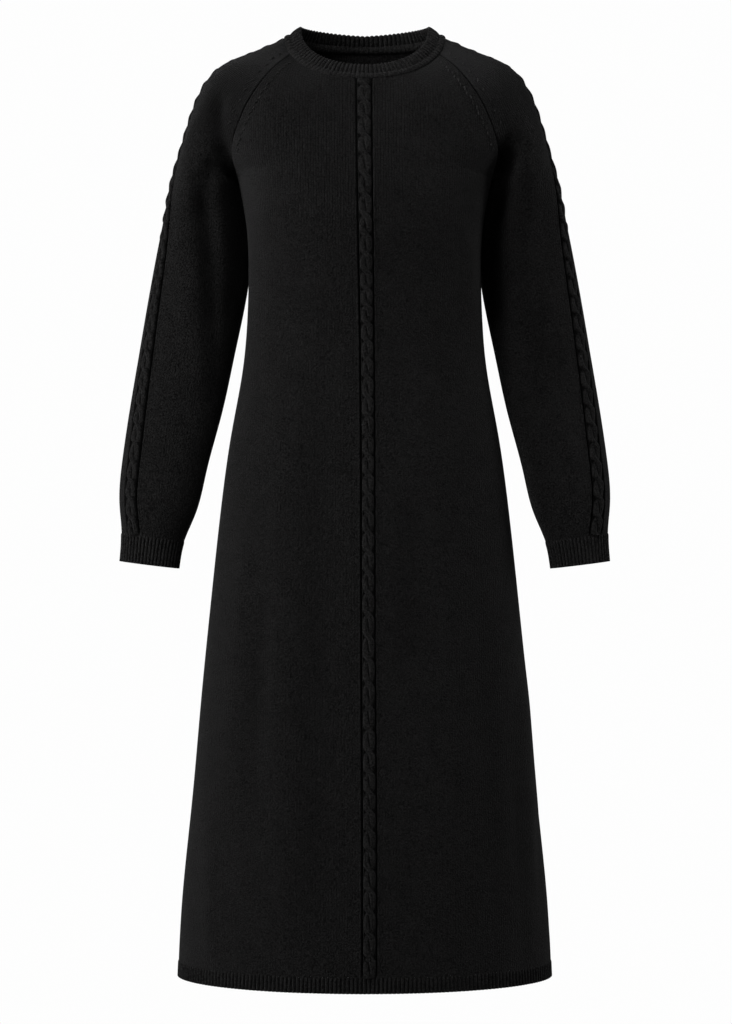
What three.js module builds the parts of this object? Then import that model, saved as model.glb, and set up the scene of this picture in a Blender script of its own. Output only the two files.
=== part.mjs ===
// A long-sleeved knitted sweater dress, filled out as it is when worn, open at the neck, cuffs and hem.
// Millimetres. +Z is up, the front faces -Y, and the wearer's left sleeve is on the +X side.
// The origin is the centre of the neck, level with the shoulder points where the garment is carried.
// Every row of knitting is a smooth curve made of cubic spans, and the rows are placed by the tables below.

import * as THREE from 'three';

// Cloth
const CLOTH = 2.2; // thickness of the single knit
const SEAM_GAP = 0.3; // pieces stop this far apart where they are joined

// Heights of the body
const HEM = -1216;
const HEM_RIB = 20;
const ARMPIT = -185;
const NECK_FRONT = -64;
const NECK_BACK = -9;

// Stations along a sleeve, measured up its outside from the end of the cuff
const CUFF = 37;
const ARMPIT_STATION = 497;
const NECK_STATION = 755;

// Rope cables: two strands that cross once in every pitch and lie between two purl ditches. Each strand swings to
// both sides of the middle, quickly where turn is large, is two halves wide, and rises and lifts over the other.
// The cable ends at its edges, and its ditches at the edges of the strip.
const FRONT_CABLE = {
  pitch: 24, swing: 3.8, turn: 1.8, half: 4.3, rise: 2.3, lift: 1.1, crest: 4.7, edge: 8, strip: 10.4, ditch: 1.1,
};
const SLEEVE_CABLE = {
  pitch: 25, swing: 4.5, turn: 0, half: 4.9, rise: 2.2, lift: 0.9, crest: 5.5, edge: 9.5, strip: 12, ditch: 0.9,
};
const ROWS_PER_CROSSING = 4;

// Ribs: the spacing from one rib to the next, and how far they stand above and below the cloth
const HEM_RIB_SPACING = 5.3;
const CUFF_RIB_SPACING = 4.8;
const NECK_RIB_SPACING = 6;
const RIB_CREST = 0.7;
const RIB_VALLEY = -0.5;

// Bezier handles of the yoke's rows, as a share of the distance that they span
const SEAM_PULL = 0.345;
const FLAT_REACH = 0.345;
const FLAT_TURN = 42; // degrees

// The body from hem to armpit: half the width, where the side seam lies, and how square the section is
// (0.552 is an ellipse)
const BODY = smoothTable('height halfWidth sideY square', [
  [-1216, 242.5, 0, 0.552],
  [-1120, 237.3, 0, 0.555],
  [-990, 224.3, 0, 0.56],
  [-860, 212.6, -1, 0.565],
  [-730, 199.6, -2, 0.57],
  [-606, 186.0, -4, 0.575],
  [-508, 172.0, -5, 0.58],
  [-430, 158.0, -7, 0.59],
  [-352, 151.5, -8, 0.605],
  [-300, 150.5, -8, 0.62],
  [-240, 154.0, -6, 0.655],
  [-185, 160.5, 0, 0.7],
]);
const FRONT_LINE = smoothTable('height depth', [
  [-1216, 145],
  [-990, 138],
  [-730, 124],
  [-508, 111],
  [-400, 106],
  [-310, 112],
  [-240, 121],
  [-185, 117],
  [-130, 104],
  [-85, 87],
  [-64, 79],
]);

// The front cable: how far it lies to the wearer's left of the middle, and how often it has crossed from the neck
const CABLE_LINE = smoothTable('height shift crossings', [
  [-1196, 6, 44.9],
  [-1049, 6.1, 39.5],
  [-928, 5.6, 34.5],
  [-800, 4.8, 30],
  [-665, 4.4, 25],
  [-532, 4.2, 19.5],
  [-388, 3, 13.5],
  [-267, 1.3, 8],
  [-150, -0.2, 3.4],
  [-64, -0.8, -0.4],
]);
const BACK_LINE = smoothTable('height depth', [
  [-1216, 144],
  [-990, 137],
  [-730, 128],
  [-606, 122],
  [-480, 107],
  [-370, 91],
  [-270, 97],
  [-185, 100],
  [-120, 95],
  [-60, 81],
  [-9, 66],
]);

// The raglan seams, by share of the way from armpit to neck. A turn of 0 degrees leaves the seam
// straight out to the side and 90 goes round to the far side of the body, and a rise is upwards.
const SEAM_COLUMNS = 'share x y z panelTurn sleeveTurn rise';
const FRONT_SEAM = smoothTable(SEAM_COLUMNS, [
  [0, 160.5, 0, -185, 90, -88, 0],
  [0.06, 160.3, -13, -182.3, 83, -73, 2],
  [0.137, 160.0, -30, -174.5, 73, -50, 6],
  [0.295, 162.0, -58, -150, 54, 3, 17],
  [0.446, 157, -73, -119, 44, 34, 24],
  [0.574, 146, -79, -92, 42, 42, 27],
  [0.703, 130, -75, -66.5, 46, 46, 30],
  [0.848, 113, -58, -43, 54, 54, 34],
  [1, 95.9, -32, -26, 60, 60, 35],
]);
const BACK_SEAM = smoothTable(SEAM_COLUMNS, [
  [0, 160.5, 0, -185, 90, -88, 0],
  [0.06, 160.2, 13, -182, 83, -73, 2],
  [0.137, 159.5, 30, -173, 73, -50, 6],
  [0.295, 160, 56, -146, 55, 3, 16],
  [0.446, 152, 71, -114, 44, 34, 22],
  [0.574, 140, 80, -86, 40, 40, 24],
  [0.703, 123, 81, -58, 42, 42, 25],
  [0.848, 104, 64, -29, 44, 44, 18],
  [1, 85, 38.7, -5.3, 41, 41, 5],
]);

// The outside of the arm from cuff to neck, and how far the rows reach to front and back
const ARM_OUTSIDE = smoothTable('station x y z frontReach backReach cable', [
  [0, 316.5, -17, -678.5, 34, 34, 30],
  [37, 314.8, -15, -642.0, 37, 37, 31],
  [74, 317.8, -12, -605.0, 43, 43, 32],
  [132, 314.5, -6, -547.0, 45, 45, 32],
  [211, 303.7, 3, -469.0, 48, 48, 30],
  [290, 291.3, 11, -391.0, 52, 53, 28],
  [369, 278.0, 16, -313.0, 57, 58, 26],
  [448, 262.5, 13, -235.0, 66, 67, 24],
  [497, 250.5, 8, -187.0, 73, 75, 21],
  [528, 240.8, 5, -157.0, 63, 65, 13],
  [584, 225.3, 2, -103.0, 50, 52, -2],
  [624, 211.2, 0, -66.0, 43, 45, -9],
  [649, 197.6, 0, -45.5, 40, 42, -12],
  [674, 178.0, 0, -31.0, 36, 39, -14],
  [701, 152.5, 0, -20.5, 29, 33, -14],
  [730, 126.0, 0, -9.5, 21, 24, -13],
  [755, 104.9, 0, 0, 14, 14, -12],
]);
// The inside of the arm from cuff to armpit, which tucks in behind the side of the body
const ARM_INSIDE = smoothTable('station x y z', [
  [0, 240.6, -17, -688],
  [37, 233.8, -15, -653],
  [74, 219.5, -12, -618],
  [132, 205.5, -7, -563],
  [211, 186.0, 4, -487],
  [290, 170.0, 14, -411],
  [369, 154.5, 23, -333],
  [410, 149.5, 26, -292],
  [448, 150.0, 22, -246],
  [475, 155.5, 13, -212],
  [497, 160.8, 0, -185],
]);

// The neckband's upper edge, and its section: height up the band and distance outwards
const NECK_TOP = { x: 83, front: 67, back: 59, sideZ: 16, frontZ: -44, backZ: 13.6, napeLift: 1.9 };
const NECK_CURVE = 0.87; // how softly the upper edge drops from the sides to the front
const BAND_HEIGHT = 23.5;
const BAND_ROLL = [
  [0, 0.9],
  [2.2, 2.5],
  [5, 2.6],
  [7.2, 1.3],
];
const BAND_RIBS = [
  [8, 1.5],
  [21, 1.5],
];
const BAND_EDGE = [BAND_HEIGHT, 0.1];
const BAND_INSIDE = [
  [21, -1.6],
  [8, -1.6],
  [5, -2.6],
  [2.2, -2.4],
  [0, -1.2],
];
const BAND_STATIONS = 48;

// Rows of points, the same on both sides of each seam
const BODY_ROWS = 22; // from hem to armpit
const RAGLAN_ROWS = 10; // from armpit to neck
const SLEEVE_ROWS = 9; // from cuff to armpit

const STEP = 1e-3; // share of a row, and of a panel, that normals are worked out over
const SIDE = new THREE.Vector3(1, 0, 0);
const BACKWARDS = new THREE.Vector3(0, 1, 0);

// Gives each named column of a table as a smooth function of its first column
function smoothTable(names, rows) {
  const keys = rows.map((row) => row[0]);
  const columns = names.split(' ').slice(1);
  return Object.fromEntries(columns.map((name, i) => [name, spline(keys, rows.map((row) => row[i + 1]))]));
}

// A natural cubic spline through the given values
function spline(keys, values) {
  const last = keys.length - 1;
  const curvature = new Array(keys.length).fill(0);
  const share = new Array(keys.length).fill(0);
  const part = new Array(keys.length).fill(0);
  for (let i = 1; i < last; i++) {
    const before = keys[i] - keys[i - 1];
    const after = keys[i + 1] - keys[i];
    const turn = (values[i + 1] - values[i]) / after - (values[i] - values[i - 1]) / before;
    const pivot = 2 * (before + after) - before * share[i - 1];
    share[i] = after / pivot;
    part[i] = (6 * turn - before * part[i - 1]) / pivot;
  }
  for (let i = last - 1; i > 0; i--) curvature[i] = part[i] - share[i] * curvature[i + 1];
  return (key) => {
    let i = 0;
    while (i < last - 1 && key > keys[i + 1]) i++;
    const width = keys[i + 1] - keys[i];
    const b = (key - keys[i]) / width;
    const a = 1 - b;
    const bow = ((a ** 3 - a) * curvature[i] + (b ** 3 - b) * curvature[i + 1]) * (width ** 2 / 6);
    return a * values[i] + b * values[i + 1] + bow;
  };
}

function mix(from, to, share) {
  return from + (to - from) * share;
}

function evenly(from, to, count) {
  return Array.from({ length: count + 1 }, (_, i) => mix(from, to, i / count));
}

// The direction in which a row leaves a seam: out to the side, round to the back (or front), and up
function heading(turn, rise, facing) {
  const yaw = THREE.MathUtils.degToRad(turn);
  const pitch = THREE.MathUtils.degToRad(rise);
  return new THREE.Vector3(
    Math.cos(yaw) * Math.cos(pitch),
    -facing * Math.sin(yaw) * Math.cos(pitch),
    Math.sin(pitch),
  );
}

// One cubic span that leaves its start along one direction and arrives along another
function span(start, leave, arrive, end) {
  return new THREE.CubicBezierCurve3(start, start.clone().add(leave), end.clone().sub(arrive), end);
}

function mirrored(curve) {
  const flip = (p) => new THREE.Vector3(-p.x, p.y, p.z);
  return new THREE.CubicBezierCurve3(flip(curve.v3), flip(curve.v2), flip(curve.v1), flip(curve.v0));
}

function path(...curves) {
  const whole = new THREE.CurvePath();
  curves.forEach((curve) => whole.add(curve));
  return whole;
}

// The half row of a body panel on the +X side, from the centre line to the seam.
// Level 0 is the hem, 1 the armpit and 2 the neck, and facing is -1 at the front and 1 at the back.
function bodySpan(level, facing) {
  const line = facing < 0 ? FRONT_LINE : BACK_LINE;
  const neck = facing < 0 ? NECK_FRONT : NECK_BACK;
  const share = Math.max(0, level - 1);
  const z = level < 1 ? mix(HEM, ARMPIT, level) : mix(ARMPIT, neck, share);
  const centre = new THREE.Vector3(0, facing * line.depth(z), z);
  let edge = new THREE.Vector3(BODY.halfWidth(z), BODY.sideY(z), z);
  let arrive = BACKWARDS.clone().multiplyScalar(-facing);
  let reach = BODY.square(z) * edge.x;
  let pull = BODY.square(z) * Math.abs(centre.y - edge.y);
  if (level > 1) {
    const seam = facing < 0 ? FRONT_SEAM : BACK_SEAM;
    edge = new THREE.Vector3(seam.x(share), seam.y(share), seam.z(share));
    arrive = heading(seam.panelTurn(share), seam.rise(share), facing);
    const depth = line.depth(ARMPIT);
    const square = BODY.square(ARMPIT) / Math.hypot(BODY.halfWidth(ARMPIT), depth);
    const turn = seam.panelTurn(share);
    const distance = edge.distanceTo(centre);
    const bend = (turn - FLAT_TURN) / (90 - FLAT_TURN);
    reach = mix(FLAT_REACH, square * BODY.halfWidth(ARMPIT), bend) * distance;
    pull = mix(SEAM_PULL, square * depth, bend) * distance;
  }
  return span(centre, SIDE.clone().multiplyScalar(reach), arrive.multiplyScalar(pull), edge);
}

// The whole row of a body panel, from left to right as its wearer's side of the cloth is looked at from outside
function bodyRow(level, facing) {
  const half = bodySpan(level, facing);
  return facing < 0 ? path(mirrored(half), half) : path(reversed(half), reversed(mirrored(half)));
}

function reversed(curve) {
  return new THREE.CubicBezierCurve3(curve.v3, curve.v2, curve.v1, curve.v0);
}

// The row of the +X sleeve at a station, from its front edge over the outside of the arm to its back edge
function sleeveRow(station) {
  const top = new THREE.Vector3(ARM_OUTSIDE.x(station), ARM_OUTSIDE.y(station), ARM_OUTSIDE.z(station));
  const ends = [FRONT_SEAM, BACK_SEAM].map((seam, i) => {
    const facing = i ? 1 : -1;
    const reach = i ? ARM_OUTSIDE.backReach(station) : ARM_OUTSIDE.frontReach(station);
    if (station <= ARMPIT_STATION) {
      const inside = new THREE.Vector3(ARM_INSIDE.x(station), ARM_INSIDE.y(station), ARM_INSIDE.z(station));
      return { edge: inside, leave: BACKWARDS.clone().multiplyScalar(facing * reach), reach };
    }
    const share = (station - ARMPIT_STATION) / (NECK_STATION - ARMPIT_STATION);
    const parting = new THREE.Vector3(1, 0, share).normalize().multiplyScalar(SEAM_GAP);
    const edge = new THREE.Vector3(seam.x(share), seam.y(share), seam.z(share)).add(parting);
    const leave = heading(seam.sleeveTurn(share), seam.rise(share), facing).multiplyScalar(reach);
    return { edge, leave, reach };
  });
  const [front, back] = ends;
  return path(
    span(front.edge, front.leave, BACKWARDS.clone().multiplyScalar(front.reach), top),
    span(top, BACKWARDS.clone().multiplyScalar(back.reach), back.leave.clone().negate(), back.edge),
  );
}

// A knitted piece: rows of a given shape, with its points asked for by level and share of the row
class Knit {
  constructor(rowAt, lowest, highest, ringsTo = -Infinity) {
    this.rowAt = rowAt;
    this.lowest = lowest;
    this.highest = highest;
    this.ringsTo = ringsTo; // rows up to this level close on themselves
    this.rows = new Map();
  }

  row(level) {
    if (!this.rows.has(level)) this.rows.set(level, this.rowAt(level));
    return this.rows.get(level);
  }

  // A point of the outside, moved out by a height, or in by a negative one
  point(level, share, height = 0) {
    const place = this.row(level).getPoint(share);
    if (height === 0) return place;
    const ring = level <= this.ringsTo;
    const step = (this.highest - this.lowest) * STEP;
    const up = Math.min(level + step, ring ? this.ringsTo : this.highest);
    const down = Math.max(level - step, this.lowest);
    const rise = this.row(up).getPoint(share).sub(this.row(down).getPoint(share));
    const ahead = ring ? (share + STEP) % 1 : Math.min(1, share + STEP);
    const behind = ring ? (share + 1 - STEP) % 1 : Math.max(0, share - STEP);
    const along = this.row(level).getPoint(ahead).sub(this.row(level).getPoint(behind));
    return place.addScaledVector(along.cross(rise).normalize(), height);
  }

  column(levels, shareAt, heightAt = () => 0) {
    return levels.map((level) => this.point(level, shareAt(level), heightAt(level)));
  }
}

// Triangles of one closed wall
class Skin {
  constructor() {
    this.corners = [];
  }

  // Joins two lines of points that run the same way; near is on the left, seen from outside.
  // Lines with the same count are joined point by point, and others by how far along each is.
  join(near, far) {
    const measure = (line) => {
      const sums = [0];
      for (let i = 1; i < line.length; i++) sums.push(sums[i - 1] + line[i].distanceTo(line[i - 1]));
      return sums.map((sum) => sum / sums[sums.length - 1]);
    };
    const paired = near.length === far.length;
    const nearShare = paired ? evenly(0, 1, near.length - 1) : measure(near);
    const farShare = paired ? nearShare : measure(far);
    let i = 0;
    let j = 0;
    while (i < near.length - 1 || j < far.length - 1) {
      const nearNext = i < near.length - 1 ? nearShare[i + 1] + nearShare[i] : Infinity;
      const farNext = j < far.length - 1 ? farShare[j + 1] + farShare[j] : Infinity;
      if (nearNext <= farNext) this.corners.push(near[i], far[j], near[++i]);
      else this.corners.push(near[i], far[j], far[++j]);
    }
  }

  sheet(columns) {
    for (let i = 1; i < columns.length; i++) this.join(columns[i - 1], columns[i]);
  }

  geometry(mirrorX = false) {
    const positions = [];
    for (let i = 0; i < this.corners.length; i += 3) {
      const face = this.corners.slice(i, i + 3);
      if (mirrorX) face.reverse();
      face.forEach((p) => positions.push(mirrorX ? -p.x : p.x, p.y, p.z));
    }
    return new THREE.BufferGeometry().setAttribute('position', new THREE.Float32BufferAttribute(positions, 3));
  }
}

// A wall between an outside and an inside, each given as upright columns from left to right.
// Its two upright rims begin at a point of the end columns; a ring, whose ends are the same, has none.
function wall(outside, inside, rimFrom = 0) {
  const skin = new Skin();
  const first = (columns) => columns.map((column) => column[0]);
  const last = (columns) => columns.map((column) => column[column.length - 1]);
  skin.sheet(outside);
  skin.sheet([...inside].reverse());
  skin.join(first(outside), first(inside));
  skin.join(last(inside), last(outside));
  if (rimFrom !== null) {
    skin.join(inside[0].slice(rimFrom), outside[0].slice(rimFrom));
    skin.join(outside[outside.length - 1].slice(rimFrom), inside[inside.length - 1].slice(rimFrom));
  }
  return skin;
}

// Height of a rope cable above the cloth. Seen from outside, the strand that runs down to the right is on top.
function cableHeight(cable, across, crossings) {
  const phase = Math.PI * crossings;
  const turned = cable.turn ? Math.tanh(cable.turn * Math.cos(phase)) / Math.tanh(cable.turn) : Math.cos(phase);
  const strands = [1, -1].map((side) => {
    const offset = (across - side * cable.swing * turned) / cable.half;
    const dome = cable.rise * Math.sqrt(Math.max(0, 1 - offset ** 2));
    return Math.abs(offset) < 1 ? dome + side * cable.lift * Math.sin(phase) : 0;
  });
  if (Math.abs(across) >= cable.strip) return 0;
  return Math.abs(across) >= cable.edge ? -cable.ditch : Math.max(0.2, ...strands);
}

// Where the columns of a cable's strip lie, from its middle
function stripColumns(cable) {
  return [-cable.strip, -cable.edge, -cable.crest, 0, cable.crest, cable.edge, cable.strip];
}

// The front: a shaped panel with the cable up its middle
function frontPanel() {
  const knit = new Knit((level) => bodyRow(level, -1), 0, 2);
  const bottom = (HEM_RIB + SEAM_GAP / 2) / (ARMPIT - HEM);
  const top = 2 - SEAM_GAP / (NECK_FRONT - ARMPIT);
  const levels = [...evenly(bottom, 1, BODY_ROWS), ...evenly(1, top, RAGLAN_ROWS).slice(1)];
  const heightOf = (level) => (level < 1 ? mix(HEM, ARMPIT, level) : mix(ARMPIT, NECK_FRONT, level - 1));
  const levelOf = (z) => (z < ARMPIT ? (z - HEM) / (ARMPIT - HEM) : 1 + (z - ARMPIT) / (NECK_FRONT - ARMPIT));
  const cableRows = Math.round(((heightOf(top) - heightOf(bottom)) / FRONT_CABLE.pitch) * ROWS_PER_CROSSING);
  const fine = evenly(heightOf(bottom), heightOf(top), cableRows).map(levelOf);
  const trimmed = (share) => (level) => {
    const length = knit.row(level).getLength();
    return mix(SEAM_GAP / 2, length - SEAM_GAP / 2, share) / length;
  };
  const acrossAt = (across) => (level) =>
    0.5 + (across + CABLE_LINE.shift(heightOf(level))) / knit.row(level).getLength();
  const between = (side, share) => (level) => {
    const edge = trimmed(side < 0 ? 0 : 1)(level);
    const strip = acrossAt(side * (FRONT_CABLE.strip + 3))(level);
    return mix(edge, strip, side < 0 ? share : 1 - share);
  };
  const shares = evenly(0, 1, 6);
  const plain = (side) => shares.map((share) => knit.column(levels, between(side, share)));
  const cable = stripColumns(FRONT_CABLE).map((across) =>
    knit.column(fine, acrossAt(across), (level) =>
      cableHeight(FRONT_CABLE, across, 0.5 - CABLE_LINE.crossings(heightOf(level))),
    ),
  );
  const outside = [...plain(-1), ...cable, ...plain(1)];
  const inside = evenly(0, 1, 12).map((share) => knit.column(levels, trimmed(share), () => -CLOTH));
  return wall(outside, inside).geometry();
}

// The back: the same shape without a cable
function backPanel() {
  const knit = new Knit((level) => bodyRow(level, 1), 0, 2);
  const bottom = (HEM_RIB + SEAM_GAP / 2) / (ARMPIT - HEM);
  const top = 2 - SEAM_GAP / (NECK_BACK - ARMPIT);
  const levels = [...evenly(bottom, 1, BODY_ROWS), ...evenly(1, top, RAGLAN_ROWS).slice(1)];
  const trimmed = (share) => (level) => {
    const length = knit.row(level).getLength();
    return mix(SEAM_GAP / 2, length - SEAM_GAP / 2, share) / length;
  };
  const columns = (height) =>
    evenly(0, 1, 14).map((share) => knit.column(levels, trimmed(share), () => height));
  return wall(columns(0), columns(-CLOTH)).geometry();
}

// A raglan sleeve with the cable along the outside of the arm. The right one is the mirror image,
// except that its cable still crosses the same way.
function sleeve(onLeft) {
  const knit = new Knit(sleeveRow, 0, NECK_STATION, ARMPIT_STATION);
  const bottom = CUFF + SEAM_GAP / 2;
  const top = NECK_STATION - SEAM_GAP;
  const tube = evenly(bottom, ARMPIT_STATION, SLEEVE_ROWS);
  const stations = [...tube, ...evenly(ARMPIT_STATION, top, RAGLAN_ROWS).slice(1)];
  const cableRows = Math.round(((top - bottom) / SLEEVE_CABLE.pitch) * ROWS_PER_CROSSING);
  const fine = evenly(bottom, top, cableRows);
  const acrossAt = (across) => (station) => {
    const row = knit.row(station);
    const frontLength = row.getCurveLengths()[0];
    return (frontLength - ARM_OUTSIDE.cable(station) + across) / row.getLength();
  };
  const between = (side, share) => (station) => {
    const strip = acrossAt(side * (SLEEVE_CABLE.strip + 3))(station);
    return side < 0 ? mix(0, strip, share) : mix(strip, 1, share);
  };
  const shares = evenly(0, 1, 7);
  const plain = (side) => shares.map((share) => knit.column(stations, between(side, share)));
  const view = onLeft ? 1 : -1;
  const cable = stripColumns(SLEEVE_CABLE).map((across) =>
    knit.column(fine, acrossAt(across), (station) =>
      cableHeight(SLEEVE_CABLE, view * across, station / SLEEVE_CABLE.pitch),
    ),
  );
  const outside = [...plain(-1), ...cable, ...plain(1)];
  const inside = evenly(0, 1, 16).map((share) => knit.column(stations, () => share, () => -CLOTH));
  return wall(outside, inside, tube.length - 1).geometry(!onLeft);
}

// Ribbing between two levels of a knit: crests and valleys by turns over a plain inside
function ribbing(knit, levels, spacing, coarse, trim) {
  const length = knit.row(levels[0]).getLength();
  const ribs = Math.round(length / spacing);
  const shareOf = (share) => mix(trim / length, 1 - trim / length, share);
  const outside = evenly(0, 1, 2 * ribs).map((share, i) =>
    knit.column(levels, () => shareOf(share), () => (i % 2 ? RIB_CREST : RIB_VALLEY)),
  );
  const inside = evenly(0, 1, coarse).map((share) =>
    knit.column(levels, () => shareOf(share), () => -CLOTH),
  );
  return wall(outside, inside, trim > 0 ? 0 : null);
}

function hemRib(facing) {
  const knit = new Knit((level) => bodyRow(level, facing), 0, 2);
  const top = (HEM_RIB - SEAM_GAP / 2) / (ARMPIT - HEM);
  return ribbing(knit, [0, top], HEM_RIB_SPACING, 14, SEAM_GAP / 2).geometry();
}

function cuffRib(onLeft) {
  const knit = new Knit(sleeveRow, 0, NECK_STATION, ARMPIT_STATION);
  return ribbing(knit, [0, CUFF - SEAM_GAP / 2], CUFF_RIB_SPACING, 16, 0).geometry(!onLeft);
}

// A quarter of the neckline, from the centre of the front or back to the top of the left shoulder
function neckQuarter(facing) {
  const [front, back] = sleeveRow(NECK_STATION).curves;
  const half = bodySpan(2, facing);
  return path(half, facing < 0 ? front : reversed(back));
}

// The band's upper edge at an angle from the centre of the front or the back
function neckTop(angle, facing) {
  const c = Math.max(0, Math.cos(angle));
  const atFront = facing < 0;
  const drop = atFront ? c ** NECK_CURVE : c ** 2;
  const lift = atFront ? 0 : NECK_TOP.napeLift * Math.sin(2 * angle);
  const depth = atFront ? NECK_TOP.front : NECK_TOP.back;
  const z = mix(NECK_TOP.sideZ, atFront ? NECK_TOP.frontZ : NECK_TOP.backZ, drop) + lift;
  return new THREE.Vector3(NECK_TOP.x * Math.sin(angle), facing * depth * c, z);
}

// Frames round the neck: where the band starts, a millimetre's way up it, and which way is out
function neckFrames(count) {
  const quarters = { front: neckQuarter(-1), back: neckQuarter(1) };
  const placeAt = (turn) => {
    const quarterTurn = turn * 4;
    const onFront = quarterTurn <= 1 || quarterTurn > 3;
    const fold = quarterTurn > 2 ? 4 - quarterTurn : quarterTurn;
    const share = fold <= 1 ? fold : 2 - fold;
    const base = quarters[onFront ? 'front' : 'back'].getPoint(share);
    const upper = neckTop((share * Math.PI) / 2, onFront ? -1 : 1);
    const flip = quarterTurn > 2 ? -1 : 1;
    base.x *= flip;
    upper.x *= flip;
    return { base, up: upper.sub(base).divideScalar(BAND_HEIGHT) };
  };
  return evenly(0, 1, count).map((turn) => {
    const { base, up } = placeAt(turn % 1);
    const along = placeAt((turn + STEP) % 1).base.sub(placeAt((turn + 1 - STEP) % 1).base);
    const out = along.cross(up).normalize();
    base.addScaledVector(out, -CLOTH / 2).addScaledVector(up, SEAM_GAP);
    return { base, up, out };
  });
}

// The neckband: a doubled rib with a plain rolled edge where it is linked on
function neckband() {
  const ribs = Math.round((4 * neckQuarter(-1).getLength()) / NECK_RIB_SPACING / 1.05);
  const fine = neckFrames(2 * ribs);
  const coarse = neckFrames(BAND_STATIONS);
  const place = ({ base, up, out }, [height, outwards]) =>
    base.clone().addScaledVector(up, height).addScaledVector(out, outwards);
  const ring = (point) => coarse.map((frame) => place(frame, point));
  const ribbed = ([height, outwards]) =>
    fine.map((frame, i) => place(frame, [height, outwards + (i % 2 ? RIB_CREST : RIB_VALLEY)]));
  const rings = [
    ...BAND_ROLL.map(ring),
    ...BAND_RIBS.map(ribbed),
    ring(BAND_EDGE),
    ...BAND_INSIDE.map(ring),
    ring(BAND_ROLL[0]),
  ];
  const skin = new Skin();
  for (let i = 1; i < rings.length; i++) skin.join(rings[i], rings[i - 1]);
  return skin.geometry();
}

const dress = new THREE.Group();
const knitBlack = { roughness: 0.95, metalness: 0 };

function add(name, geometry, colour) {
  geometry.computeVertexNormals();
  const mesh = new THREE.Mesh(geometry, new THREE.MeshStandardMaterial({ color: colour, ...knitBlack }));
  mesh.name = name;
  dress.add(mesh);
}

add('front_panel', frontPanel(), 0x161616);
add('back_panel', backPanel(), 0x161616);
add('sleeve_left', sleeve(true), 0x161616);
add('sleeve_right', sleeve(false), 0x161616);
add('hem_rib_front', hemRib(-1), 0x141414);
add('hem_rib_back', hemRib(1), 0x141414);
add('cuff_left', cuffRib(true), 0x141414);
add('cuff_right', cuffRib(false), 0x141414);
add('neckband', neckband(), 0x151515);

export default dress;
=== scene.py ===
# %% [markdown]
# # A cable-knit sweater dress
# A long-sleeved midi dress in fine black wool. It is knitted to shape: a front, a back and two raglan
# sleeves are linked together, a ribbed band finishes the neck, and three rope cables stand up from the
# cloth. The dress is filled out as if it were worn, with nobody in it, so the pieces are thin shells
# round a hollow. The lesson builds each piece flat, at the size that comes off the knitting machine, and
# carries it on to its worn form.

import math
from types import SimpleNamespace

import bpy
import numpy as np
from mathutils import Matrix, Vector


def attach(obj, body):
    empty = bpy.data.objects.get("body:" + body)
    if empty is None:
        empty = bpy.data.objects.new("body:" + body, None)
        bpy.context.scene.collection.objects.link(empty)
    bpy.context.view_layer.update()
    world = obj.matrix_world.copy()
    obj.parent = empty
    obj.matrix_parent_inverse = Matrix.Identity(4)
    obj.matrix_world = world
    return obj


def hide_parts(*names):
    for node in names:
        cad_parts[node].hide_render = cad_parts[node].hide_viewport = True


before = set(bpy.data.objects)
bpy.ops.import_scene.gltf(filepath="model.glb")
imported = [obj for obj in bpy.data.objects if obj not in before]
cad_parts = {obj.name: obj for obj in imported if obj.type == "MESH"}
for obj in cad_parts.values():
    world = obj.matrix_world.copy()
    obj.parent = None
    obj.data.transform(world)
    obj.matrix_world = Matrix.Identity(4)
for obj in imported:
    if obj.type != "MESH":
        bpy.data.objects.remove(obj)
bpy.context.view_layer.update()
scene = bpy.context.scene
MM = 0.001  # every table below is in millimetres

# %% [markdown]
# ## The camera
# The picture is taken straight from the front, at half the height of the dress. The hem's middle hangs
# lower in the picture than its ends and the cuffs look level, which a camera 3.5 m away at that height
# gives.

# %% The camera
CAMERA_DISTANCE = 3.5
CAMERA_HEIGHT = -0.615
VIEW_HEIGHT = 1.3312  # metres from top to bottom of the picture, at the dress
SENSOR = 24

bpy.ops.object.select_all(action="DESELECT")
bpy.ops.object.camera_add(location=(0.0016, -CAMERA_DISTANCE, CAMERA_HEIGHT), rotation=(math.pi / 2, 0, 0))
camera = bpy.context.object
camera.name = "camera"
camera.data.sensor_fit = "VERTICAL"
camera.data.sensor_height = SENSOR
camera.data.lens = SENSOR * CAMERA_DISTANCE / VIEW_HEIGHT
scene.camera = camera
scene.view_settings.view_transform = "Standard"
print("lens", round(camera.data.lens, 1), "mm")

# %% [markdown]
# ## The sizes
# A knitter works from a chart: so many rows, and so wide at each of them. These tables are that chart,
# with the worn form added: how wide and deep the body is at each height, and where the seams run. A
# natural cubic spline makes every column a smooth curve, so a few rows are enough and no edge shows
# between them.

# %% Smooth tables
def natural_spline(keys, values):
    """A smooth curve through the values, as a function of the key."""
    widths = np.diff(keys)
    slopes = np.diff(values) / widths
    system = np.eye(len(keys))
    turns = np.zeros(len(keys))
    for i in range(1, len(keys) - 1):
        system[i, i - 1 : i + 2] = widths[i - 1], 2 * (widths[i - 1] + widths[i]), widths[i]
        turns[i] = 6 * (slopes[i] - slopes[i - 1])
    curvature = np.linalg.solve(system, turns)

    def at(key):
        i = np.clip(np.searchsorted(keys, key, side="right") - 1, 0, len(keys) - 2)
        b = (key - keys[i]) / widths[i]
        a = 1 - b
        bow = ((a**3 - a) * curvature[i] + (b**3 - b) * curvature[i + 1]) * widths[i] ** 2 / 6
        return a * values[i] + b * values[i + 1] + bow

    return at


def smooth_table(names, rows):
    """The named columns of a table, each as a smooth function of its first column."""
    rows = np.array(rows, float)
    columns = names.split()[1:]
    splines = {name: natural_spline(rows[:, 0], rows[:, i]) for i, name in enumerate(columns, 1)}
    return SimpleNamespace(**splines)


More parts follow.
